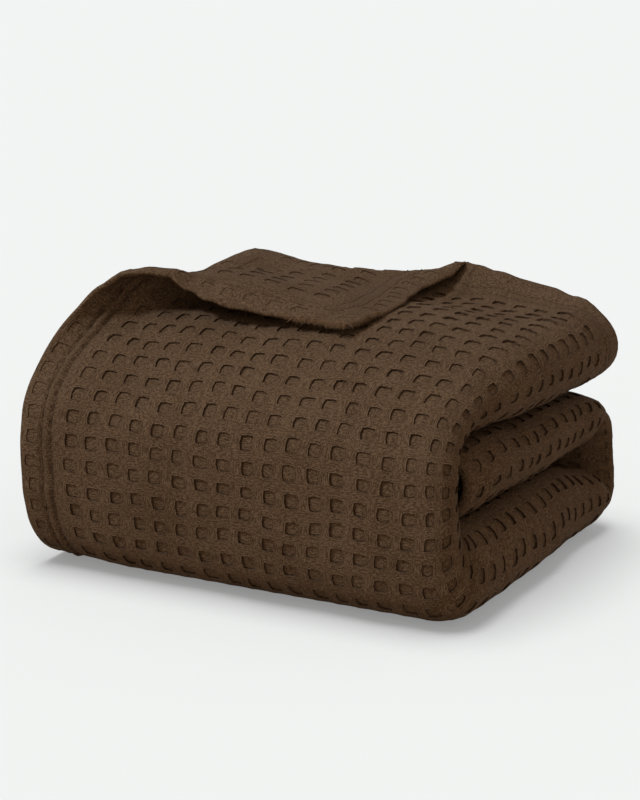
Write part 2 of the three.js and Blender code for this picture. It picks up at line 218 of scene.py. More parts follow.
# How finely each stretch is divided, for the two faces of the cloth. Rows are measured along the
# outer side of the strip as far as its crosswise fold, and along the cloth from there.
OUTER_ROWS = table("to fine", (852, True), (1700, False))
OUTER_COLUMNS = table("to fine", (345, True), (570, False), (628, True), (1110, False))
INNER_ROWS = table("to fine", (182, True), (1425, False), (1700, True))
INNER_COLUMNS = table("to fine", (200, True), (1110, False))

# What is hidden: the outer face under the blanket and inside it, as far as that goes across, and
# the inner face on this side of the turned corner's fold
HIDDEN_UNDER, HIDDEN_INSIDE, HIDDEN_GIRTH = (378, 552), 704, (32, 255)
HIDDEN_BEFORE_FOLD = -20


def smooth(value):
    value = np.clip(value, 0, 1)
    return value * value * (3 - 2 * value)


def between(rows, column, value):
    """A column of a table, read smoothly between its rows, which are placed by their first one."""
    key = next(iter(rows[0]))
    value = np.clip(np.asarray(value, float), rows[0][key], rows[-1][key])
    found = np.zeros_like(value)
    for row, after in zip(rows[:-1], rows[1:]):
        part = smooth((value - row[key]) / (after[key] - row[key]))
        reached = row[column] + (after[column] - row[column]) * part
        found = np.where(value >= row[key], reached, found)
    return found


def within(value, low, rise, high, fall):
    """1 from low to high, fading in over rise from low, and out over fall up to high."""
    return smooth((value - low) / rise) * smooth((high - value) / fall)


def station_curve(column):
    """A column of the stations as a smooth curve, PATH_STEPS points to a station."""
    values = np.array([station[column] for station in STATIONS], float)
    values = np.concatenate([[2 * values[0] - values[1]], values, [2 * values[-1] - values[-2]]])
    count = np.arange((len(STATIONS) - 1) * PATH_STEPS + 1) / PATH_STEPS
    first = np.minimum(count.astype(int), len(STATIONS) - 2)
    part = count - first
    weights = (
        (1 - part) ** 3,
        3 * part**3 - 6 * part**2 + 4,
        -3 * part**3 + 3 * part**2 + 3 * part + 1,
        part**3,
    )
    return sum(weight * values[first + index] for index, weight in enumerate(weights)) / 6


class Strip:
    """The folded strip: its path, its cross-section, and the cloth laid through both."""

    def __init__(self):
        out = np.stack([station_curve("back"), station_curve("up")], -1)
        inside = np.stack([station_curve("in_back"), station_curve("in_up")], -1)
        middle = (out + inside) / 2
        thickness = np.hypot(*(out - inside).T)
        steps = np.hypot(*np.diff(middle, axis=0).T)
        outer_steps = np.hypot(*np.diff(out, axis=0).T)
        self.run = np.concatenate([[0], np.cumsum(steps)])
        self.outer_run = np.concatenate([[0], np.cumsum(outer_steps)])
        self.columns = {
            "back": middle[:, 0],
            "up": middle[:, 1],
            "out_back": (out - inside)[:, 0] / thickness,
            "out_up": (out - inside)[:, 1] / thickness,
            "spacing": (thickness - CLOTH) / 7,
            "left": station_curve("left"),
            "right": station_curve("right"),
        }
        self.length = self.run[-1]
        self.spacing = (BAND - CLOTH) / 7
        self.right = WIDTH - BAND / 2
        self.left = LEFT_FOLD_INSET + 1.5 * self.spacing + CLOTH / 2
        self.end_radius = self.columns["spacing"][-1] / 2
        self.cloth_length = 2 * self.length + math.pi * self.end_radius
        front = np.argmax(out[:, 1] < FRONT_ROW_UP)
        self.front_row = self.outer_run[front]
        self.legs = self.section_legs()

    def section_legs(self):
        """The cross-section's flat leaves and half-round folds, with the girth each starts at."""
        right, left = self.right, self.left
        legs = [
            {"from": 0, "to": right, "level": 3},
            {"centre": right, "level": 0, "radius": 3, "start": 90, "turn": -180},
            {"from": right, "to": left, "level": -3},
            {"centre": left, "level": -2, "radius": 1, "start": -90, "turn": -180},
            {"from": left, "to": right, "level": -1},
            {"centre": right, "level": 0, "radius": 1, "start": -90, "turn": 180},
            {"from": right, "to": left, "level": 1},
        ]
        girth = 0
        for leg in legs:
            leg["girth"] = girth
            flat = "from" in leg
            round_length = math.pi * leg.get("radius", 0) * self.spacing
            leg["length"] = abs(leg["to"] - leg["from"]) if flat else round_length
            girth += leg["length"]
        return legs

    def along(self, column, run):
        """A column of the path at a run; past either end it goes straight on."""
        values = self.columns[column]
        found = np.interp(run, self.run, values)
        first = (values[1] - values[0]) / (self.run[1] - self.run[0])
        last = (values[-1] - values[-2]) / (self.run[-1] - self.run[-2])
        found = np.where(run < 0, values[0] + run * first, found)
        return np.where(run > self.length, values[-1] + (run - self.length) * last, found)

    def section(self, girth):
        """Across, level, and the way out of the section, at a girth."""
        across, level, out_across, out_level = (np.zeros_like(girth) for _ in range(4))
        for index, leg in enumerate(self.legs):
            here = (girth >= leg["girth"]) if index else np.ones_like(girth, bool)
            part = (girth - leg["girth"]) / leg["length"]
            if "from" in leg:
                facing = np.sign(leg["to"] - leg["from"])
                values = (leg["from"] + part * (leg["to"] - leg["from"]), leg["level"], 0, facing)
            else:
                angle = np.radians(leg["start"] + part * leg["turn"])
                facing = -np.sign(leg["turn"])
                cosine, sine = np.cos(angle), np.sin(angle)
                values = (
                    leg["centre"] + leg["radius"] * self.spacing * cosine,
                    leg["level"] + leg["radius"] * sine,
                    facing * cosine,
                    facing * sine,
                )
            across, level, out_across, out_level = (
                np.where(here, value, old)
                for value, old in zip(values, (across, level, out_across, out_level))
            )
        return across, level, out_across, out_level

    def point(self, across, level, run, above=0.0):
        """A point of the strip, from the left hem, the front face and the floor."""
        spacing = self.along("spacing", run)
        to_left = smooth(1 - across / (WIDTH / 2))
        to_right = smooth((across - WIDTH / 2) / (WIDTH / 2))
        rounded = np.maximum(across - self.right, 0) * (spacing / self.spacing - 1)
        tuck = between(BEND_TUCK, "in", run) * smooth((TUCK_LEVEL - level) / TUCK_LEVELS)
        from_right = self.along("right", run) + tuck
        x = across + rounded + to_left * self.along("left", run) - to_right * from_right
        out = level * spacing + above
        y = self.along("back", run) + out * self.along("out_back", run)
        z = self.along("up", run) + out * self.along("out_up", run)
        on_top = smooth((level + 3.5) / 7) * smooth((STATIONS[0]["back"] - run) / TOP_FADE)
        lift = between(BACK_LIFT, "lift", x) * smooth((y - BACK_LIFT_START) / BACK_LIFT_DEPTH)
        dip = between(BACK_DIP, "dip", x) * smooth((y - BACK_DIP_START) / BACK_DIP_DEPTH)
        fall = RIGHT_FALL * smooth((x - RIGHT_FALL_START) / (WIDTH - RIGHT_FALL_START))
        corner = smooth(1 - x / CORNER_REACH["across"]) * smooth(1 - y / CORNER_REACH["back"])
        corner = corner * smooth(1 - z / CORNER_REACH["up"])
        return np.stack([x, y, z + on_top * (lift - dip - fall) + CORNER_LIFT * corner], -1)

    def run_at(self, down):
        """The run at a distance down the cloth, and 1 on the outer cloth, -1 on the inner one."""
        angle = np.clip((down - self.length) / self.end_radius, 0, math.pi)
        back = np.maximum(down - self.length - math.pi * self.end_radius, 0)
        return np.minimum(down, self.length) + self.end_radius * np.sin(angle) - back, np.cos(angle)

    def lay(self, down, girth):
        """The cloth before its corner is turned."""
        run, side = self.run_at(down)
        inset = INNER_HEM_INSET * smooth(1 - girth / self.right) * (1 - side) / 2
        inset = inset * smooth(1 - run / self.length)
        across, level, out_across, out_level = self.section(girth + inset)
        across = across + side / 2 * out_across * self.spacing
        return self.point(across, level + side / 2 * out_level, run)

    def drawn_in(self, across, run):
        return smooth(1 - across / (WIDTH / 2)) * self.along("left", run)

    def past_fold(self, down, girth):
        """How far along the turned corner's fold, how far past it, and the way past it."""
        fold_across = FOLD_TO["across"] - FOLD_FROM["across"]
        fold_down = FOLD_FROM["back"] - FOLD_TO["back"]
        length = math.hypot(fold_across, fold_down)
        to_across = girth + self.drawn_in(girth, down) - FOLD_FROM["across"]
        to_down = down - (STATIONS[0]["back"] - FOLD_FROM["back"])
        along = (to_across * fold_across + to_down * fold_down) / length**2
        past = (to_across * fold_down - to_down * fold_across) / length
        return along, past, fold_down / length, -fold_across / length

    def cloth(self, down, girth):
        """The middle of the cloth's thickness at each (down, girth), corner turned."""
        down, girth = np.broadcast_arrays(np.asarray(down, float), np.asarray(girth, float))
        laid = self.lay(down, girth)
        along, past, away_across, away_down = self.past_fold(down, girth)
        radius = between(FOLD_RISE, "rise", along) / 2
        past = past + math.pi / 2 * radius
        turned = (girth <= self.right) & (down <= STATIONS[0]["back"]) & (past > 0)
        angle = np.minimum(past / radius, math.pi)
        beyond = np.maximum(past - math.pi * radius, 0)
        moved = radius * np.sin(angle) - beyond - past
        landed = smooth((beyond - FLAP_LEVEL) / FLAP_SETTLE)
        rise = radius * (1 - np.cos(angle)) * (1 - landed) + (CLOTH + FLAP_CLEARANCE) * landed
        landing = girth + self.drawn_in(girth, down) + moved * away_across
        run = down + moved * away_down
        across = landing
        for _ in range(8):  # the draw depends on where it lands, and settles in a few rounds
            across = landing - self.drawn_in(across, run)
        folded = np.where(turned[..., None], self.point(across, 3.5, run, rise), laid)
        return folded + self.drape(down, girth)

    def drape(self, down, girth):
        """How the outer cloth's free hems at the top stray from the plain folds."""
        near_side = smooth(1 - girth / FLAP_SIDE_REACH)
        near_end = smooth(1 - down / FLAP_END_REACH)
        out = between(FLAP_END, "out", girth) * near_end
        back = between(FLAP_SIDE, "back", down) * near_side
        up = between(FLAP_SIDE, "up", down) * near_side
        up = up + between(FLAP_END, "up", girth) * near_end
        up = up + between(END_CURL, "up", girth) * smooth(1 - down / END_CURL_REACH)
        return np.stack([out, back, up], -1)

    def normal(self, down, girth, step=0.4):
        """The way out of the cloth's outer face."""
        by_down = self.cloth(down + step, girth) - self.cloth(down - step, girth)
        by_girth = self.cloth(down, girth + step) - self.cloth(down, girth - step)
        out = np.cross(by_down, by_girth)
        return out / np.linalg.norm(out, axis=-1, keepdims=True)


STRIP = Strip()


# ---------------------------------------------------------------- settings


def measure(name, description, default):
    """A length that the user can change, in metres."""
    return bpy.props.FloatProperty(
        name=name, description=description, default=default, unit="LENGTH"
    )


def tint(name, description, default):
    """A colour that the user can change."""
    return bpy.props.FloatVectorProperty(
        name=name, description=description, default=default, subtype="COLOR"
    )


class BlanketWeave(bpy.types.PropertyGroup):
    recess_depth: measure("Recess depth", "How deep the recesses lie below the ribs", 0.0013)
    unevenness: measure("Unevenness", "How far the edges of the recesses stray", 0.00055)
    cotton: tint("Cotton", "Colour of the yarn", (0.0409, 0.0193, 0.0078))
    # the colour that painted shade is mixed towards, in the recesses and along the stitched lines
    deep: tint("Painted shade", "Colour of the shade painted into the recesses and stitched lines", (0.0085, 0.0030, 0.0008))
    # the paler yarn's colour, also used for the highlight painted on the threads round the recesses
    cotton_light_and_highlight: tint(
        "Paler yarn", "Colour of the yarn where it is raised and highlit", (0.0896, 0.0468, 0.0225)
    )


class BlanketHems(bpy.types.PropertyGroup):
    stitch: measure("Stitch", "Length of a stitch with its gap", 0.0042)
    thread: measure("Thread", "Diameter of the sewing thread", 0.0007)


class BlanketFringe(bpy.types.PropertyGroup):
    count: bpy.props.IntProperty(name="Yarns", description="How many yarns are frayed", default=700)
    reach: measure("Reach", "How far from the corner the edges are frayed", 0.034)
    length: measure("Length", "Length of the longest frayed yarn", 0.0055)
    thickness: measure("Thickness", "Thickness of a frayed yarn", 0.0004)


class BlanketStudio(bpy.types.PropertyGroup):
    floor: tint("Floor", "Colour of the floor", (0.905, 0.92, 0.911))
    floor_lamp: bpy.props.FloatProperty(
        name="Floor lamp",
        description="How much of the floor's brightness comes from overhead",
        default=0.5,
    )
    key: bpy.props.FloatProperty(name="Key light", description="Strength of the lamp", default=5.45)
    key_colour: tint("Key colour", "Colour of the lamp: cool daylight", (0.55, 0.72, 0.95))
    fill: bpy.props.FloatProperty(
        name="Fill light", description="Strength of the light from all round", default=0.985
    )


# ---------------------------------------------------------------- the cloth


def soft_noise(first, second, wavelength, seed):
    """Smooth hills and hollows of about one wavelength, mostly from -1 to 1."""
    rng = np.random.default_rng(seed)
    total = np.zeros(np.broadcast(first, second).shape)
    for angle, phase, stretch in zip(
        rng.uniform(0, 2 * math.pi, 7), rng.uniform(0, 2 * math.pi, 7), rng.uniform(0.7, 1.5, 7)
    ):
        way = first * math.cos(angle) + second * math.sin(angle)
        total = total + np.sin(way * 2 * math.pi / wavelength * stretch + phase)
    return total / 3


def swells(rows, first, second):
    """A table's swells, added up."""
    return sum(row["size"] * soft_noise(first, second, row["length"], row["seed"]) for row in rows)


def hem_shape(distance, along, groove):
    """How far a hem's face stands out of the plain cloth, at a distance from its edge."""
    doubled = smooth((HEM_WIDTH + 1.5 - distance) / 2.5)
    wave = soft_noise(along, distance * 0.3, HEM_WAVE_LENGTH, HEM_WAVE_SEED)
    pucker = 0.6 + 0.4 * wave
    ridge = np.exp(-(((distance - sum(HEM_SEAMS) / 2) / RIDGE_WIDTH) ** 2)) * pucker
    flat = HEM_RISE * doubled - groove * seam_at(distance)
    return flat + RIDGE * ridge + HEM_WAVE * doubled * wave


def seam_at(distance):
    """1 on a stitched line, falling away beside it."""
    return sum(np.exp(-(((distance - seam) / SEAM_WIDTH) ** 2)) for seam in HEM_SEAMS)


def hem_stray(along):
    """How far a hem's stitched lines stray from straight."""
    return swells(HEM_STRAYS, along, 0.0)


def creases(run, girth):
    """Small folds across the rounded side, where the strip turns sharply."""
    total = 0.0
    for crease in CREASES:
        near = np.exp(-(((run - crease["run"]) / crease["spread"]) ** 2))
        wave = np.sin((run + 0.15 * girth) * 2 * math.pi / crease["apart"])
        total = total + near * wave * crease["size"]
    return total * within(girth, *CREASED)


def from_edges(down, girth):
    return np.minimum(down, STRIP.cloth_length - down), np.minimum(girth, CLOTH_WIDTH - girth)


def by_edge(down, girth):
    """How far off the nearest edge is, whether it is one of the ends, and the place along it."""
    edge_down, edge_girth = from_edges(down, girth)
    at_end = edge_girth >= edge_down
    return np.minimum(edge_down, edge_girth), at_end, np.where(at_end, girth + END_HEM_PLACE, down)


def surface(down, girth, side):
    """A point on the cloth's outer face, side 1, or its inner one, side -1, and the way out."""
    down, girth = np.broadcast_arrays(np.asarray(down, float), np.asarray(girth, float))
    nearest, at_end, along = by_edge(down, girth)
    run, _ = STRIP.run_at(down)
    room = smooth((STRIP.along("spacing", run) - 3.2) / 3.0)
    if side > 0:
        room = np.where((down <= STRIP.length) & (girth < OUTER_COLUMNS[0]["to"]), 1.0, room)
    look = FACES[side]
    hem = hem_shape(nearest - hem_stray(along), along, look["groove"])
    hem = hem * room * np.where(at_end, look["end_hem"], 1.0)
    half = CLOTH / 2 + hem * look["hem"]
    rounded = np.sqrt(1 - (1 - np.clip(nearest / (CLOTH / 2 + HEM_RISE), 0, 1)) ** 2)
    middle = STRIP.cloth(down, girth)
    out = STRIP.normal(down, girth)
    clear = smooth((middle[..., 2] - 6) / 14) * smooth(nearest / 40) * room
    swell = clear * swells(SWELLS, down, girth)
    if side > 0:
        on_side = within(girth, *SWOLLEN) * smooth((middle[..., 2] - 3) / 8)
        swell = swell + on_side * (swells(SIDE_SWELLS, down, girth * 0.6) + creases(run, girth))
    return middle + out * (side * half * rounded + swell)[..., None], out * side


class Rows:
    """Distances measured along the strip's outer side, as distances down the cloth."""

    def __init__(self):
        self.phase = (STRIP.front_row - RECESS_START * PITCH) % PITCH
        self.outer_end = STRIP.outer_run[-1]
        self.end = self.outer_end + STRIP.cloth_length - STRIP.length

    def to_down(self, value):
        inside = np.interp(value, STRIP.outer_run, STRIP.run)
        return np.where(value <= self.outer_end, inside, value - self.outer_end + STRIP.length)


ROWS = Rows()


def lines_for(spans, end, first_cell, turn=None):
    """The lines that divide a face one way: place in mm, part of a cell, how woven, and its cell.

    The cell is a number, or -1 for a line of the hems or of the crosswise fold.
    """
    low = math.ceil((HEM_LINES[-1] + 1.5 - first_cell) / PITCH)
    high = math.floor((end - HEM_LINES[-1] - 1.5 - first_cell) / PITCH)
    hem = [(float(value), 0.0, 0.0) for value in HEM_LINES]
    hem += [(HEM_CELL_START + part * PITCH, part, HEM_PRESSED) for part in CELL_LINES[1:]]
    lines = [(*line, -1) for line in hem]
    for cell in range(low, high + 1):
        start = first_cell + cell * PITCH
        fine = next(span["fine"] for span in spans if start < span["to"])
        clear = turn is None or start + PITCH < turn[0] or start > turn[1]
        woven = fine and clear and cell < high
        parts = CELL_LINES if woven else (0.0,)
        number = cell - low if cell < high else -1
        lines += [(start + part * PITCH, part, float(woven), number) for part in parts]
    if turn:
        lines = [line for line in lines if not turn[0] - 2 < line[0] < turn[1] + 2]
        lines += [(value, 0.0, 0.0, -1) for value in np.linspace(*turn, 7)]
    lines += [(end - value, 1 - part if part else 0.0, woven, -1) for value, part, woven in hem]
    return np.array(sorted(lines))


def cell_spans(lines):
    """The first and last line of each cell."""
    numbers = lines[:-1, 3]
    cells = [np.flatnonzero(numbers == number) for number in np.unique(numbers[numbers >= 0])]
    return [(cell[0], cell[-1] + 1) for cell in cells]


def unseen(value, girth, side):
    """Where nothing sees the cloth: under the blanket, in between its bands, behind the corner."""
    if side > 0:
        under = (value > HIDDEN_UNDER[0]) & (value < HIDDEN_UNDER[1])
        across = (girth > HIDDEN_GIRTH[0]) & (girth < HIDDEN_GIRTH[1])
        return (under | (value > HIDDEN_INSIDE)) & across
    past = STRIP.past_fold(from_edges(ROWS.to_down(value), girth)[0], girth)[1]
    return past < HIDDEN_BEFORE_FOLD


class Face:
    """One side of the cloth as a grid of points, with the recesses of the weave pressed in."""

    def __init__(self, rows, columns, side, weave, seed):
        look = FACES[side]
        self.rows, self.columns, self.side = rows, columns, side
        value, girth = np.meshgrid(rows[:, 0], columns[:, 0], indexing="ij")
        part_down, part_girth = np.meshgrid(rows[:, 1], columns[:, 1], indexing="ij")
        row_woven = np.where(rows[:, 2] < 1, rows[:, 2] * (side < 0), rows[:, 2])
        woven = row_woven[:, None] * columns[:, 2][None, :]
        middles = ((grid[:-1, :-1] + grid[1:, 1:]) / 2 for grid in (value, girth))
        flat = unseen(*middles, side)
        self.flat = (flat | (woven[:-1, :-1] == 0)) & (rows[:-1, 3:] >= 0) & (columns[:-1, 3] >= 0)
        for top, bottom in cell_spans(rows):
            for left, right in cell_spans(columns):
                self.flat[top:bottom, left:right] = self.flat[top:bottom, left:right].all()
        tuck = between(BEND_TUCK, "in", STRIP.run_at(ROWS.to_down(value))[0])
        open_out = 1 - smooth(tuck / TUCK_OPENS) * smooth((girth - TUCK_GIRTH) / TUCK_FADE)
        # how strongly the recesses' painted shade, the highlight painted round them and their
        # thread bumps show
        self.pressed = woven * look["pressed"] * open_out
        self.uv = weave_place(value, girth)
        own = self.cell_differences(value, girth, seed)
        inside = (woven > 0) * (part_down > 0.1) * (part_girth > 0.1)
        uneven = inside * weave.unevenness / MM
        off_down, off_girth = part_down - 0.5, part_girth - 0.5
        spread = self.undercut(off_down, off_girth) * inside * open_out
        from_middle = np.maximum(np.abs(off_down), np.abs(off_girth))
        pinched = within(girth, *PINCHED) * (side > 0)
        pinch = SIDE_PINCH * pinched * inside * (from_middle < RIM + NEAR)
        nearest, at_end, along = by_edge(ROWS.to_down(value), girth)
        # how much shade is painted into the stitched lines, along the sides and at the ends
        dark = np.where(at_end, look["end_seam"], look["seam"])
        self.seam = np.minimum(seam_at(nearest), 1) * dark
        hem_band = within(nearest, *HEM_STRAYED) * hem_stray(along)
        girth = girth + np.where(at_end, 0, hem_band * np.where(girth < CLOTH_WIDTH / 2, 1, -1))
        value = value + np.where(at_end, hem_band * np.where(value < ROWS.end / 2, 1, -1), 0)
        free = smooth((nearest - 24) / 25)
        value = value + DRIFT * free * soft_noise(girth, value, DRIFT_DOWN, seed + 1)
        girth = girth + DRIFT * free * soft_noise(girth, value, DRIFT_GIRTH, seed + 2)
        wider = (spread - pinch) * PITCH
        longer, broader = (SIZE_DIFFERENCE * own[..., index] for index in (2, 3))
        value = value + uneven * (own[..., 0] + longer * off_down) + wider * off_down
        girth = girth + uneven * (own[..., 1] + broader * off_girth) + wider * off_girth
        points, out = surface(ROWS.to_down(value), girth, side)
        floor = woven * (from_middle < FLOOR_EDGE + NEAR) * (1 + DEPTH_DIFFERENCE * own[..., 4])
        rim = woven * (np.abs(from_middle - RIM) < NEAR)
        floor_edge = (woven > 0) * (np.abs(from_middle - FLOOR_EDGE) < NEAR)
        self.ring = 1.0 * (rim > 0) + 2.0 * floor_edge
        on_row, on_column = part_down < 0.1, part_girth < 0.1
        mid_float = woven * ((part_down == 0.5) & on_column | (part_girth == 0.5) & on_row)
        relief = woven * CROSSING_RISE * (on_row & on_column) - FLOAT_DIP * mid_float
        relief = relief - RIM_DIP * rim - weave.recess_depth / MM * floor
        self.points = points + out * (relief * look["relief"])[..., None]

    @staticmethod
    def undercut(off_down, off_girth):
        """How much further out a vertex of a recess lies: its floor runs in under the ribs."""
        from_middle = np.maximum(np.abs(off_down), np.abs(off_girth))
        corner = (np.abs(off_down) > 0.15) & (np.abs(off_girth) > 0.15)
        floor = UNDERCUT * (np.abs(from_middle - FLOOR_EDGE) < NEAR)
        return floor - CORNER_DRAW * corner - SIDE_DRAW

    @staticmethod
    def cell_differences(value, girth, seed):
        """Five numbers for each cell of the weave, near 0 and different from cell to cell."""
        row = np.floor((value - ROWS.phase) / PITCH).astype(int)
        column = np.floor((girth - FIRST_RIB) / PITCH).astype(int)
        row, column = row - row.min(), column - column.min()
        numbers = np.random.default_rng(seed).normal(0, 1, (row.max() + 1, column.max() + 1, 5))
        return np.clip(numbers[row, column], -1.6, 1.6)


def weave_place(value, girth):
    """Where a point is in the weave, counted in cells, for the cloth's UV map."""
    across = place_one_way(girth, CLOTH_WIDTH, FIRST_RIB)
    return np.stack([across, place_one_way(value, ROWS.end, ROWS.phase)], -1)


def place_one_way(value, end, first):
    """Cells counted one way across the cloth; along its edges the hems count their own."""
    near, far = HEM_CELL_START, end - HEM_CELL_START
    field = (value - first) / PITCH
    by_near = (value - near) / PITCH + round((near - first) / PITCH)
    by_far = (value - far) / PITCH + round((far - first) / PITCH)
    hem, far_hem = (smooth((HEM_LINES[-1] - off) / HEM_FADE) for off in (value, end - value))
    return field * (1 - hem - far_hem) + by_near * hem + by_far * far_hem


class ClothMesh:
    """The two faces of the cloth, joined at its four edges."""

    def __init__(self, all_rows, all_columns):
        """all_rows and all_columns are the lines of both faces."""
        self.all_rows, self.all_columns = all_rows, all_columns
        self.points, self.marks, self.loops, self.sizes, self.uvs = [], [], [], [], []
        self.count = 0
        self.edge = {}

    def add_points(self, points, marks=None):
        """marks are three numbers for each point: its ring in a recess, pressed, and seam."""
        points = points.reshape(-1, 3)
        self.points.append(points)
        self.marks.append(np.zeros((len(points), 3)) if marks is None else marks.reshape(-1, 3))
        self.count += len(points)
        return self.count - len(points)

    def edge_point(self, value, girth):
        key = (round(float(value), 3), round(float(girth), 3))
        if key not in self.edge:
            self.edge[key] = self.add_points(surface(ROWS.to_down(value), girth, 1)[0])
        return self.edge[key], weave_place(value, girth)

    def add_loop(self, loop, uvs, face):
        """One polygon; the inner face's go round the other way."""
        way = 1 if face.side > 0 else -1
        self.loops.append(np.array(loop[::way]))
        self.uvs.append(np.array(uvs[::way]))
        self.sizes.append(np.array([len(loop)]))

    def add_face(self, face):
        high, wide = len(face.rows), len(face.columns)
        # pressed and seam also carry how strongly shade and highlight are painted on
        marks = np.stack([face.ring, face.pressed, face.seam], -1)
        first = self.add_points(face.points[1:-1, 1:-1], marks[1:-1, 1:-1])
        numbers = np.full((high, wide), -1)
        numbers[1:-1, 1:-1] = first + np.arange((high - 2) * (wide - 2)).reshape(high - 2, wide - 2)
        order = [(0, 0), (1, 0), (1, 1), (0, 1)]
        order = order if face.side > 0 else order[::-1]
        i, j = np.nonzero(~face.flat[1:-1, 1:-1])
        i, j = i + 1, j + 1
        self.loops.append(np.stack([numbers[i + a, j + b] for a, b in order], -1).ravel())
        self.uvs.append(np.stack([face.uv[i + a, j + b] for a, b in order], -2).reshape(-1, 2))
        self.sizes.append(np.full(i.size, 4))
        self.add_flat_cells(face, numbers)
        for i in range(high - 1):
            step = 1 if i in (0, high - 2) else wide - 2
            for j in range(0, wide - 1, step):
                self.add_edge_face(face, numbers, i, j)

    def add_flat_cells(self, face, numbers):
        """One face for each cell without a recess, with all its finer neighbours' vertices."""
        flat = face.flat
        spans = product(cell_spans(face.rows), cell_spans(face.columns))
        for (top, bottom), (left, right) in spans:
            if not flat[top, left]:
                continue
            sides = [
                (flat[top:bottom, left - 1], [(i, left) for i in range(top, bottom)]),
                (flat[bottom, left:right], [(bottom, j) for j in range(left, right)]),
                (flat[top:bottom, right], [(i, right) for i in range(bottom, top, -1)]),
                (flat[top - 1, left:right], [(top, j) for j in range(right, left, -1)]),
            ]
            loop = []
            for beyond, spots in sides:
                loop += spots[:1] if beyond.all() else spots
            self.add_loop([numbers[spot] for spot in loop], [face.uv[spot] for spot in loop], face)

    def add_edge_face(self, face, numbers, i, j):
        """A face at the cloth's edge, with every vertex of either side that lies on that edge."""
        high, wide = numbers.shape
        near, far = face.rows[i : i + 2, 0]
        left, right = face.columns[j : j + 2, 0]
        values = [v for v in self.all_rows if near - SAME_LINE <= v <= far + SAME_LINE]
        girths = [g for g in self.all_columns if left - SAME_LINE <= g <= right + SAME_LINE]
        sides = [
            (j == 0, [(v, left) for v in values], (i, j), (i + 1, j)),
            (i == high - 2, [(far, g) for g in girths], (i + 1, j), (i + 1, j + 1)),
            (j == wide - 2, [(v, right) for v in values[::-1]], (i + 1, j + 1), (i, j + 1)),
            (i == 0, [(near, g) for g in girths[::-1]], (i, j + 1), (i, j)),
        ]
        loop = []
        for on_edge, spots, start, stop in sides:
            if on_edge:
                loop += [self.edge_point(*spot) for spot in spots]
            else:
                inner = [spot for spot in (start, stop) if numbers[spot] >= 0]
                loop += [(numbers[spot], face.uv[spot]) for spot in inner]
        loop = [item for index, item in enumerate(loop) if item[0] != loop[index - 1][0]]
        self.add_loop(*zip(*loop), face)

    def make(self, name):
        used, loops = np.unique(np.concatenate(self.loops), return_inverse=True)
        points = np.concatenate(self.points)[used]
        points[:, 2] = np.maximum(points[:, 2], 0)
        marks = np.concatenate(self.marks).astype(np.float32)[used]
        loops = loops.ravel().astype(np.int32)
        sizes = np.concatenate(self.sizes).astype(np.int32)
        mesh = bpy.data.meshes.new(name)
        mesh.vertices.add(len(points))
        mesh.vertices.foreach_set("co", in_place(points).astype(np.float32).ravel())
        mesh.loops.add(len(loops))
        mesh.loops.foreach_set("vertex_index", loops)
        mesh.polygons.add(len(sizes))
        starts = np.cumsum(sizes) - sizes
        mesh.polygons.foreach_set("loop_start", starts.astype(np.int32))
        mesh.polygons.foreach_set("use_smooth", np.ones(len(sizes), bool))
        layer = mesh.uv_layers.new(name="weave")
        layer.data.foreach_set("uv", np.concatenate(self.uvs).astype(np.float32).ravel())
        mesh.update(calc_edges=True)
        ends = np.zeros(len(mesh.edges) * 2, np.int32)
        mesh.edges.foreach_get("vertices", ends)
        for name, column in (("pressed", 1), ("seam", 2)):
            mark = mesh.attributes.new(name, "FLOAT", "POINT")
            mark.data.foreach_set("value", marks[:, column].copy())
        rings = marks[:, 0][ends.reshape(-1, 2)]
        crisp = mesh.attributes.new("sharp_edge", "BOOLEAN", "EDGE")
        crisp.data.foreach_set("value", (rings[:, 0] > 0) & (rings[:, 0] == rings[:, 1]))
        if mesh.validate():
            raise RuntimeError("the cloth's faces don't join as they should")
        return mesh


def in_place(points):
    """From the left hem, the front face and the floor, in mm, to the frame, in metres."""
    low, high = CAD_BOX
    corner = [(low[axis] + high[axis]) / 2 - MIDDLE[axis] for axis in (0, 1)]
    return points * MM + np.array([*corner, 0.0])


def add_object(name, mesh, material):
    piece = bpy.data.objects.new(name, mesh)
    bpy.context.scene.collection.objects.link(piece)
    mesh.materials.append(material)
    return piece


class BLANKET_OT_weave_cloth(bpy.types.Operator):
    """Weave the blanket's cloth, folded, with its recesses and hems"""

    bl_idname = "blanket.weave_cloth"
    bl_label = "Weave the cloth"

    def execute(self, context):
        weave = context.scene.blanket_weave
        turn = (ROWS.outer_end, ROWS.outer_end + math.pi * STRIP.end_radius)
        row_spans, column_spans = (OUTER_ROWS, INNER_ROWS), (OUTER_COLUMNS, INNER_COLUMNS)
        row_lines = [lines_for(each, ROWS.end, ROWS.phase, turn) for each in row_spans]
        column_lines = [lines_for(each, CLOTH_WIDTH, FIRST_RIB) for each in column_spans]
        cloth = ClothMesh(*(
            np.unique(np.round(np.concatenate([lines[:, 0] for lines in both]), 6))
            for both in (row_lines, column_lines)
        ))
        for side, rows, columns in zip(FACES, row_lines, column_lines):
            cloth.add_face(Face(rows, columns, side, weave, CELL_SEED + side))
        piece = add_object("blanket_cloth", cloth.make("blanket_cloth"), cotton_material(weave))
        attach(piece, "root")
        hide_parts(NODE)
        return {"FINISHED"}


# ---------------------------------------------------------------- the stitches


# How far the stitches go: short of the crosswise fold, along the end hem, and on the turned corner
STITCHED_SHORT, STITCHED_END, STITCHED_CORNER = 6, 330, 178
STITCH_HALF = 0.36  # half a stitch, of its length with its gap
STITCH_WIDER = 1.15  # a stitch is a little wider than it is high


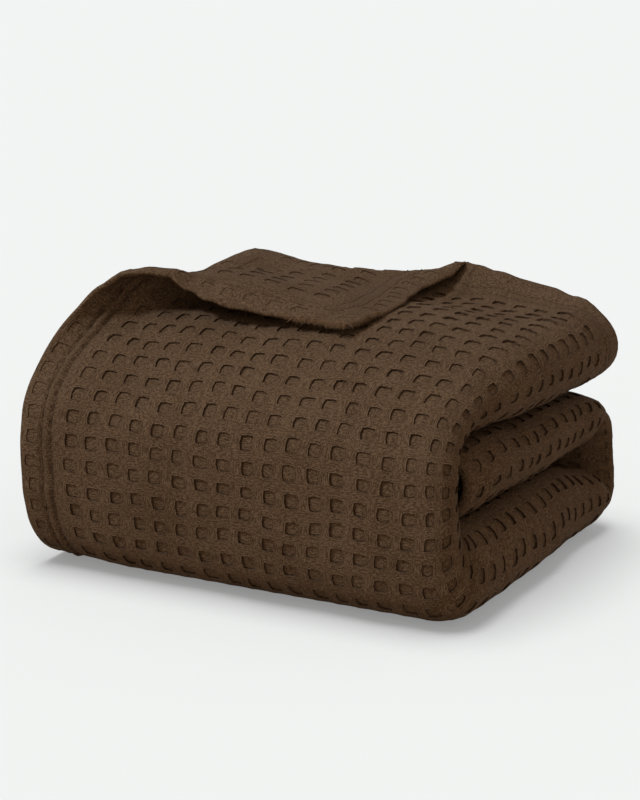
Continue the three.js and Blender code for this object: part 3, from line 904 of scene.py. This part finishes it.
def stitch_rows(hems):
    """Middle, way along and way out of each stitch, on both faces of the hems that show."""
    step = hems.stitch / MM
    found = []
    for seam in HEM_SEAMS:
        along = np.arange(seam + step, ROWS.to_down(ROWS.outer_end) - STITCHED_SHORT, step)
        found.append((along, seam + hem_stray(along), 1, 0))
        across = np.arange(seam + step, STITCHED_END, step)
        found.append((seam + hem_stray(across + END_HEM_PLACE), across, 1, 1))
        near = np.arange(seam + step, STITCHED_CORNER, step)
        found.append((near, seam + hem_stray(near), -1, 0))
        found.append((seam + hem_stray(near + END_HEM_PLACE), near, -1, 1))
    return found


def tubes(name, paths, radii, beside, above, sides):
    """Closed tubes in one mesh; paths and radii have a row for each and a column for each ring."""
    angles = np.arange(sides) * 2 * math.pi / sides
    around = beside[:, None] * np.cos(angles)[:, None] + above[:, None] * np.sin(angles)[:, None]
    points = paths[:, :, None] + around[:, None] * radii[:, :, None, None]
    faces = []
    for tube in np.arange(points[..., 0].size).reshape(points.shape[:3]).tolist():
        for ring, after in zip(tube[:-1], tube[1:]):
            faces += [(ring[k - 1], after[k - 1], after[k], ring[k]) for k in range(sides)]
        faces += [tuple(tube[0]), tuple(tube[-1][::-1])]
    mesh = bpy.data.meshes.new(name)
    mesh.from_pydata(in_place(points.reshape(-1, 3)).tolist(), [], faces)
    mesh.shade_smooth()
    return mesh


def build_stitches(hems):
    """Short rounded lengths of thread, one to a stitch."""
    place = np.array([-STITCH_HALF, -0.24, 0.0, 0.24, STITCH_HALF])
    taper = np.array([0.35, 0.85, 1.0, 0.85, 0.35])
    radius = hems.thread / MM / 2
    paths, sides_of, tops = [], [], []
    for down, girth, side, way in stitch_rows(hems):
        middle, out = surface(down, girth, side)
        along = surface(down + (1 - way), girth + way, side)[0] - middle
        along /= np.linalg.norm(along, axis=-1, keepdims=True)
        up = 0.5 - (place / STITCH_HALF) ** 2
        ahead = along[:, None] * (place * hems.stitch / MM)[:, None]
        paths.append(middle[:, None] + ahead + out[:, None] * (up * radius)[:, None])
        sides_of.append(np.cross(out, along) * STITCH_WIDER)
        tops.append(out)
    paths, beside, above = (np.concatenate(parts) for parts in (paths, sides_of, tops))
    clear = paths[..., 2].min(axis=1) > radius  # none is wanted between a hem and the floor
    paths, beside, above = paths[clear], beside[clear], above[clear]
    radii = np.tile(taper * radius, (len(paths), 1))
    return tubes("hem_stitches", paths, radii, beside, above, 6)


FRINGE_SEED = 8
FRINGE_START, FRINGE_CROWDING = 1.2, 1.6  # mm from the corner, and how much thicker it is there
FRINGE_INWARD = (0.3, 2.2)  # mm in from the edge, where the yarns come out
FRINGE_TAPER = [1.0, 0.95, 0.8, 0.6, 0.3]
FRINGE_LEAN, FRINGE_LIFT, FRINGE_CURL, FRINGE_SAG = 0.55, (-0.1, 1.0), 0.3, 0.25


def build_fringe(fringe):
    """Fine frayed yarns along the edges of the turned corner, thickest at its point."""
    rng = np.random.default_rng(FRINGE_SEED)
    count = fringe.count
    place = FRINGE_START + fringe.reach / MM * rng.random(count) ** FRINGE_CROWDING
    on_side = rng.random(count) < 0.5
    inward = rng.uniform(*FRINGE_INWARD, count)
    down, girth = np.where(on_side, place, inward), np.where(on_side, inward, place)
    root, out = surface(down, girth, -1)
    back = surface(np.where(on_side, down, 9.0), np.where(on_side, 9.0, girth), -1)[0]
    away = root - back
    away /= np.linalg.norm(away, axis=-1, keepdims=True)
    along = np.cross(out, away)
    lean = rng.normal(0, FRINGE_LEAN, (count, 1))
    lift = rng.uniform(*FRINGE_LIFT, (count, 1))
    length = fringe.length / MM * rng.uniform(0.45, 1.0, (count, 1))
    part = np.linspace(0, 1, 5)[:, None]
    heading = (away + along * lean + out * lift) * length
    curl = (along * rng.normal(0, FRINGE_CURL, (count, 1)) - out * lift) * length
    paths = root[:, None] + heading[:, None] * part + curl[:, None] * part**2
    paths[..., 2] -= FRINGE_SAG * length * part[:, 0] ** 2
    radii = fringe.thickness / MM / 2 * np.tile(FRINGE_TAPER, (count, 1))
    return tubes("corner_fringe", paths, radii, along, out, 3)


class BLANKET_OT_sew_hems(bpy.types.Operator):
    """Sew the two rows of stitches along the hems"""

    bl_idname = "blanket.sew_hems"
    bl_label = "Sew the hems"

    def execute(self, context):
        scene = context.scene
        thread = thread_material("sewing_thread", scene.blanket_weave, 0.8, 1.5)
        piece = add_object("hem_stitches", build_stitches(scene.blanket_hems), thread)
        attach(piece, "root")
        return {"FINISHED"}


class BLANKET_OT_fray_corner(bpy.types.Operator):
    """Fray the yarns at the turned corner"""

    bl_idname = "blanket.fray_corner"
    bl_label = "Fray the corner"

    def execute(self, context):
        scene = context.scene
        # painted highlight: the frayed yarns are coloured much lighter than the cloth
        yarn = thread_material("frayed_cotton_highlit", scene.blanket_weave, 1.6, 3.2)
        piece = add_object("corner_fringe", build_fringe(scene.blanket_fringe), yarn)
        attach(piece, "root")
        return {"FINISHED"}


# ---------------------------------------------------------------- materials


class Field:
    """A socket that takes part in arithmetic."""

    def __init__(self, maker, socket):
        self.maker, self.socket = maker, socket

    def math(self, operation, *others):
        values = {index: other for index, other in enumerate((self, *others))}
        return self.maker.node("ShaderNodeMath", {"operation": operation}, values)

    def __add__(self, other):
        return self.math("ADD", other)

    __radd__ = __add__

    def __mul__(self, other):
        return self.math("MULTIPLY", other)

    __rmul__ = __mul__

    def __sub__(self, other):
        return self.math("SUBTRACT", other)

    def __rsub__(self, other):
        return self.maker.node("ShaderNodeMath", {"operation": "SUBTRACT"}, {0: other, 1: self})

    def __abs__(self):
        return self.math("ABSOLUTE")

    def sine(self):
        return self.math("SINE")

    def fraction(self):
        return self.math("FRACT")

    def ramp(self, low, high):
        """0 below low and 1 above high, smoothly."""
        values = {"Value": self, "From Min": low, "From Max": high}
        return self.maker.node("ShaderNodeMapRange", {"interpolation_type": "SMOOTHSTEP"}, values)


class Maker:
    """Adds nodes to a new material."""

    def __init__(self, name):
        self.material = bpy.data.materials.new(name)
        self.material.use_nodes = True
        self.tree = self.material.node_tree
        self.shader = next(node for node in self.tree.nodes if node.type == "BSDF_PRINCIPLED")

    def put(self, socket, value):
        if isinstance(value, Field):
            self.tree.links.new(value.socket, socket)
        else:
            socket.default_value = value

    def node(self, kind, settings=None, values=None, output=0):
        node = self.tree.nodes.new(kind)
        for name, value in (settings or {}).items():
            setattr(node, name, value)
        for name, value in (values or {}).items():
            self.put(node.inputs[name], value)
        return Field(self, node.outputs[output])

    def mix(self, factor, first, second):
        settings = {"data_type": "RGBA"}
        return self.node("ShaderNodeMix", settings, {0: factor, 6: first, 7: second}, output=2)

    def surface(self, **values):
        for name, value in values.items():
            self.put(self.shader.inputs[name.replace("_", " ")], value)
        return self.material


def colour(values, scale=1.0):
    return (*(value * scale for value in values), 1.0)


# The woven pattern, counted in cells of the waffle
YARNS = 13  # to a cell
WANDER, YARN_WANDER = 0.05, 0.09  # how far the ribs and their yarns stray
RIB_EDGE = (0.22, 0.29)  # from a cell's middle, where a recess gives way to its ribs
FRAME, FRAME_STEP = 0.31, 0.072  # the first raised thread round a recess, and from one to the next
BUMP_DEPTH = 0.00035  # metres


def cotton_material(weave):
    """Floats by the recesses, plain weave where they cross, paler yarn, painted shade and
    highlight.
    """
    make = Maker("waffle_cotton")
    place = make.node("ShaderNodeUVMap", {"uv_map": "weave"})

    def noise(where, scale, **values):
        values = {"Vector": where, "Scale": scale, **values}
        return make.node("ShaderNodeTexNoise", {"noise_dimensions": "2D"}, values)

    wander = noise(place, 1.7) - 0.5
    split = make.tree.nodes.new("ShaderNodeSeparateXYZ")
    make.put(split.inputs[0], place)
    across, down = Field(make, split.outputs[0]), Field(make, split.outputs[1])
    beside = abs((across + wander * WANDER).fraction() - 0.5)
    above = abs((down + wander * WANDER).fraction() - 0.5)
    upright = beside.ramp(*RIB_EDGE)
    level = above.ramp(*RIB_EDGE)
    yarns = 2 * math.pi * YARNS
    warp = ((across + wander * YARN_WANDER) * yarns).sine()
    weft = ((down + wander * YARN_WANDER) * yarns).sine()
    plain = warp * weft * 0.6
    threads = upright * (1 - level) * warp + level * (1 - upright) * weft
    threads = threads + (upright * level + (1 - upright) * (1 - level)) * plain

    def streaks(long_way, short_way, seed):
        """Noise drawn out along a yarn; the two scales are to a cell."""
        drawn = {0: across * short_way + seed, 1: down * long_way}
        joined = make.node("ShaderNodeCombineXYZ", values=drawn)
        return noise(joined, 1.0, Detail=2.0, Roughness=0.65)

    def mark(name):
        return make.node("ShaderNodeAttribute", {"attribute_name": name}, output=2)

    stand = upright * (1 - level)
    fibre = streaks(3.2, 15.0, 3.0) * stand + streaks(15.0, 6.5, 9.0) * (1 - stand) - 0.5
    speck = streaks(18.0, 19.0, 5.0) - 0.5
    blotch = noise(place, 0.35) - 0.5
    off_across, off_down = abs(across.fraction() - 0.5), abs(down.fraction() - 0.5)
    ragged = off_across.math("MAXIMUM", off_down) + fibre * 0.05 + speck * 0.03
    crossing = off_across.math("MINIMUM", off_down).ramp(0.24, 0.32)
    on_ribs = ragged.ramp(0.285, 0.305) * (1 - crossing) * mark("pressed")
    waves = ((ragged - FRAME) * (2 * math.pi / FRAME_STEP)).math("COSINE")
    rings = waves * (1 - (ragged - FRAME) * 5.5)
    # threads round each recess: bumped in, and painted paler as a highlight on its rims
    highlit_frame_threads = rings * on_ribs * (0.8 + fibre * 2.0)
    grain = 1 - crossing * 0.4
    # paler yarn at random, with the highlight painted on the threads round the recesses
    paler = 0.41 + (1 - crossing) * 0.13 + threads * 0.1 + highlit_frame_threads * 0.5
    paler = paler + (fibre * 3.2 + speck * 2.8) * grain + blotch * 0.5
    paint = make.mix(paler.ramp(0.0, 1.0), colour(weave.cotton), colour(weave.cotton_light_and_highlight))
    # painted shade on the recesses' walls and the edges of their floors, where shade falls
    crevice_shade = ragged.ramp(0.2, 0.26) * (1 - ragged.ramp(0.282, 0.3))
    # blotches along the stitched lines, bumped in and given painted shade
    shaded_crumple = streaks(3.0, 4.0, 21.0).ramp(0.47, 0.58) * mark("seam")
    # painted shade in the recesses, along the stitched lines and in their crumples
    painted_shade = crevice_shade * mark("pressed") * 0.5 + mark("seam") * 0.18 + shaded_crumple * 0.45
    paint = make.mix(painted_shade, paint, colour(weave.deep))
    height = threads * 0.3 + highlit_frame_threads * 0.4 + (fibre * 2.6 + speck * 2.2) * grain - shaded_crumple
    relief = {"Height": height, "Strength": 1.0, "Distance": BUMP_DEPTH}
    bump = make.node("ShaderNodeBump", values=relief)
    return make.surface(Base_Color=paint, Normal=bump, Roughness=0.92, Specular_IOR_Level=0.05)


def thread_material(name, weave, dark, light):
    """Twisted thread, between two shades of the yarn."""
    make = Maker(name)
    place = make.node("ShaderNodeTexCoord", output=3)
    twisted = {"Vector": place, "Scale": 1400.0, "Detail": 1.0}
    twist = make.node("ShaderNodeTexNoise", values=twisted)
    paint = make.mix(twist, colour(weave.cotton, dark), colour(weave.cotton, light))
    relief = {"Height": twist, "Strength": 0.4, "Distance": 0.0001}
    bump = make.node("ShaderNodeBump", values=relief)
    return make.surface(Base_Color=paint, Normal=bump, Roughness=0.8, Specular_IOR_Level=0.1)


def floor_material(studio):
    """A floor as bright as the studio round it, lit by that, by a lamp and by its own glow."""
    make = Maker("studio_floor")
    own = 1 - studio.floor_lamp
    glow = [value * studio.fill * (own - value * FLOOR_SHADE) for value in studio.floor]
    return make.surface(
        Base_Color=colour(studio.floor, FLOOR_SHADE),
        Roughness=1.0,
        Specular_IOR_Level=0.0,
        Emission_Color=colour(glow),
        Emission_Strength=1.0,
    )


# ---------------------------------------------------------------- the stage

FLOOR_SIZE = 60  # metres
FLOOR_SHADE = 0.25  # how much of its colour the floor takes from the light on it

# The lamps: how wide each looks, in degrees, and the way to it
KEY_ANGLE, KEY_FROM = 12, (-0.5, -0.5, 0.85)
OVERHEAD_ANGLE, OVERHEAD_FROM = 42, (-0.08, -0.03, 1.0)

CAMERA = {
    "place": (610.7, -1175.2, 436.6),
    "right": (0.8846, 0.4664, 0.0),
    "up": (-0.1168, 0.2215, 0.9681),
    "back": (0.4515, -0.8564, 0.2504),
    "lens": 98.7,
}


def add_sun(name, strength, hue, angle, direction, lit):
    """A distant soft lamp that lights only the objects given."""
    sun = bpy.data.lights.new(name, "SUN")
    sun.energy = strength
    sun.color = hue
    sun.angle = math.radians(angle)
    lamp = bpy.data.objects.new(name, sun)
    lamp.rotation_mode = "QUATERNION"
    lamp.rotation_quaternion = Vector(direction).to_track_quat("Z", "Y")
    bpy.context.scene.collection.objects.link(lamp)
    receivers = bpy.data.collections.new("lit by the " + name + " lamp")
    for thing in lit:
        receivers.objects.link(thing)
    lamp.light_linking.receiver_collection = receivers


class BLANKET_OT_set_stage(bpy.types.Operator):
    """Lay the floor, hang the lights and set the camera"""

    bl_idname = "blanket.set_stage"
    bl_label = "Set the stage"

    def execute(self, context):
        scene = context.scene
        studio = scene.blanket_studio
        bpy.ops.object.select_all(action="DESELECT")
        bpy.ops.mesh.primitive_plane_add(size=FLOOR_SIZE)
        floor = context.object
        floor.name = "studio_floor"
        floor.data.materials.append(floor_material(studio))
        pieces = ("blanket_cloth", "hem_stitches", "corner_fringe")
        cloth = [bpy.data.objects[name] for name in pieces]
        add_sun("key", studio.key, studio.key_colour, KEY_ANGLE, KEY_FROM, cloth)
        overhead = studio.fill * math.pi * studio.floor_lamp / FLOOR_SHADE
        add_sun("overhead", overhead, (1.0, 1.0, 1.0), OVERHEAD_ANGLE, OVERHEAD_FROM, [floor])
        scene.world = bpy.data.worlds.new("studio")
        scene.world.use_nodes = True
        light = next(node for node in scene.world.node_tree.nodes if node.type == "BACKGROUND")
        light.inputs["Color"].default_value = colour(studio.floor)
        light.inputs["Strength"].default_value = studio.fill
        scene.view_settings.view_transform = "Standard"
        data = bpy.data.cameras.new("camera")
        data.lens = CAMERA["lens"]
        data.sensor_width = 36
        data.clip_end = 100
        camera = bpy.data.objects.new("camera", data)
        axes = Matrix([CAMERA["right"], CAMERA["up"], CAMERA["back"]]).transposed().to_4x4()
        camera.matrix_world = Matrix.Translation(Vector(CAMERA["place"]) * MM) @ axes
        scene.collection.objects.link(camera)
        scene.camera = camera
        return {"FINISHED"}


class BLANKET_PT_sidebar(bpy.types.Panel):
    """The blanket's steps and settings"""

    bl_label = "Folded blanket"
    bl_idname = "BLANKET_PT_sidebar"
    bl_space_type = "VIEW_3D"
    bl_region_type = "UI"
    bl_category = "Blanket"

    def draw(self, context):
        scene = context.scene
        for operator, group in zip(OPERATORS, SETTINGS):
            settings = getattr(scene, group)
            self.layout.operator(operator.bl_idname)
            for name in settings.bl_rna.properties.keys():
                if name not in ("rna_type", "name"):
                    self.layout.prop(settings, name)


SETTINGS = {
    "blanket_weave": BlanketWeave,
    "blanket_hems": BlanketHems,
    "blanket_fringe": BlanketFringe,
    "blanket_studio": BlanketStudio,
}
OPERATORS = (
    BLANKET_OT_weave_cloth,
    BLANKET_OT_sew_hems,
    BLANKET_OT_fray_corner,
    BLANKET_OT_set_stage,
)


def register():
    for item in (*SETTINGS.values(), *OPERATORS, BLANKET_PT_sidebar):
        bpy.utils.register_class(item)
    for name, group in SETTINGS.items():
        setattr(bpy.types.Scene, name, bpy.props.PointerProperty(type=group))


def unregister():
    for name in SETTINGS:
        delattr(bpy.types.Scene, name)
    for item in (BLANKET_PT_sidebar, *OPERATORS, *SETTINGS.values()):
        bpy.utils.unregister_class(item)


def main():
    register()
    bpy.ops.blanket.weave_cloth()
    bpy.ops.blanket.sew_hems()
    bpy.ops.blanket.fray_corner()
    bpy.ops.blanket.set_stage()


if __name__ == "__main__":
    main()
